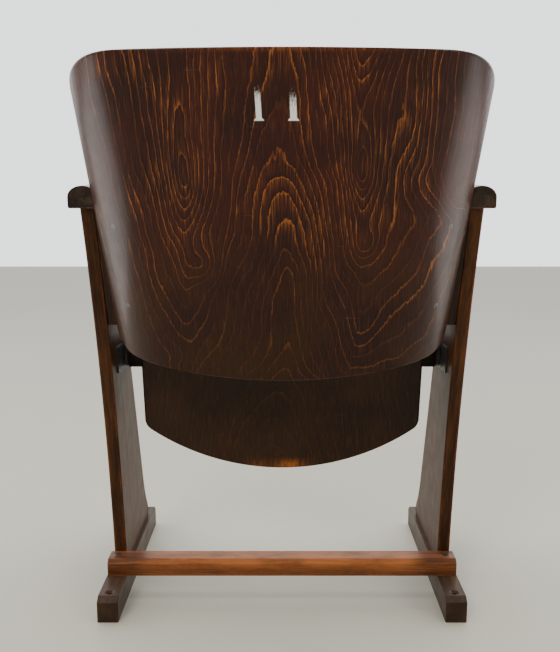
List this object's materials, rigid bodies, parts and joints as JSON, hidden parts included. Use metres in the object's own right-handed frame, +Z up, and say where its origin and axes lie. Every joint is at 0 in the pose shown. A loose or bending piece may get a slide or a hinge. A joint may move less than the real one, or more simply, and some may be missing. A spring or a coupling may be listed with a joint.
{
  "type": "tip up auditorium seat",
  "caption": "Free-standing auditorium chair in dark stained wood: curved plywood back, leaning side panels with armrests, foot runners, and a plywood seat that tips up on pivots.",
  "frame": {"origin": "on the floor, in the middle of the underside of the seat's box at rest, with the seat tipped up", "axes": "+Z up, +Y towards the back of the chair, +X towards the sitter's left"},
  "size_m": [0.59, 0.567, 0.823],
  "materials": {
    "stained_beech": "dark brown stain under gloss varnish, worn at the arrises",
    "worn_beech": "dark stain worn through to orange brown",
    "beech_plywood": "moulded plywood, mahogany stain under gloss varnish",
    "black_stained_beech": "near black stain",
    "plain_beech": "bare",
    "black_iron": "satin black enamel",
    "plain_brass": "turned",
    "black_rubber": "matte",
    "dark_steel": "dulled",
    "bright_steel": "zinc plated"
  },
  "bodies": {
    "stand": {"armrest_dowels": "plain_beech", "armrest_left": "stained_beech", "armrest_right": "stained_beech", "back_block_left": "stained_beech", "back_block_right": "stained_beech", "backrest_screws": "dark_steel", "backrest_shell": "beech_plywood", "block_screws": "dark_steel", "foot_dowels": "plain_beech", "foot_runner_left": "stained_beech", "foot_runner_right": "stained_beech", "foot_screws": "bright_steel", "pivot_bush_left": "plain_brass", "pivot_bush_right": "plain_brass", "pivot_plate_left": "black_iron", "pivot_plate_right": "black_iron", "pivot_plate_screws": "dark_steel", "rear_stretcher": "worn_beech", "side_panel_left": "stained_beech", "side_panel_right": "stained_beech", "stop_pads": "black_rubber", "stretcher_screws": "dark_steel"},
    "seat": {"journal_screws": "dark_steel", "pivot_journal_left": "black_iron", "pivot_journal_right": "black_iron", "seat_bolt_nuts": "bright_steel", "seat_bolt_washers": "bright_steel", "seat_bolts": "dark_steel", "seat_pan": "beech_plywood", "seat_rail": "black_stained_beech", "thrust_washers": "bright_steel"}
  },
  "joints": [
    {"name": "seat_tip", "type": "hinge", "parent": "stand", "child": "seat", "pos_m": [0, -0.05355, 0.398], "axis": [1, 0, 0], "range_deg": [0, 85.5]}
  ]
}
